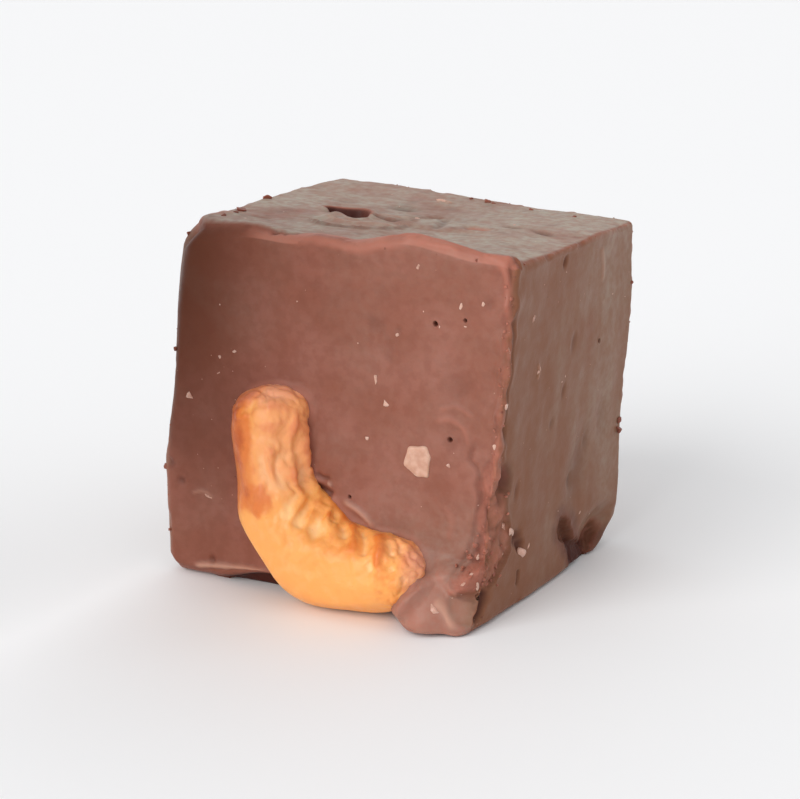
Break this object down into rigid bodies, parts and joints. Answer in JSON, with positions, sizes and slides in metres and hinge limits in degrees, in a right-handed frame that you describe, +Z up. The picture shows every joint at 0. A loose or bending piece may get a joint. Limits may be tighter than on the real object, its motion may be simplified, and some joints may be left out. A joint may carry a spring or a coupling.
{
  "type": "caramel fudge cube",
  "caption": "Hand-cut cube of milk-chocolate-brown caramel fudge with a roasted cashew half sunk in the lower part of its front face.",
  "frame": {"origin": "middle of the footprint of the whole piece, on the surface it stands on", "axes": "-Y out of the face with the cashew, +X to that face's right, +Z up"},
  "size_m": [0.0337, 0.0323, 0.0325],
  "materials": {
    "fudge": "smooth poured fudge, satin, with a faint grey bloom on the cut faces",
    "roasted_cashew": "oily roasted nut skin, finely wrinkled"
  },
  "bodies": {
    "root": {"fudge_block": "fudge", "cashew": "roasted_cashew"}
  },
  "joints": []
}
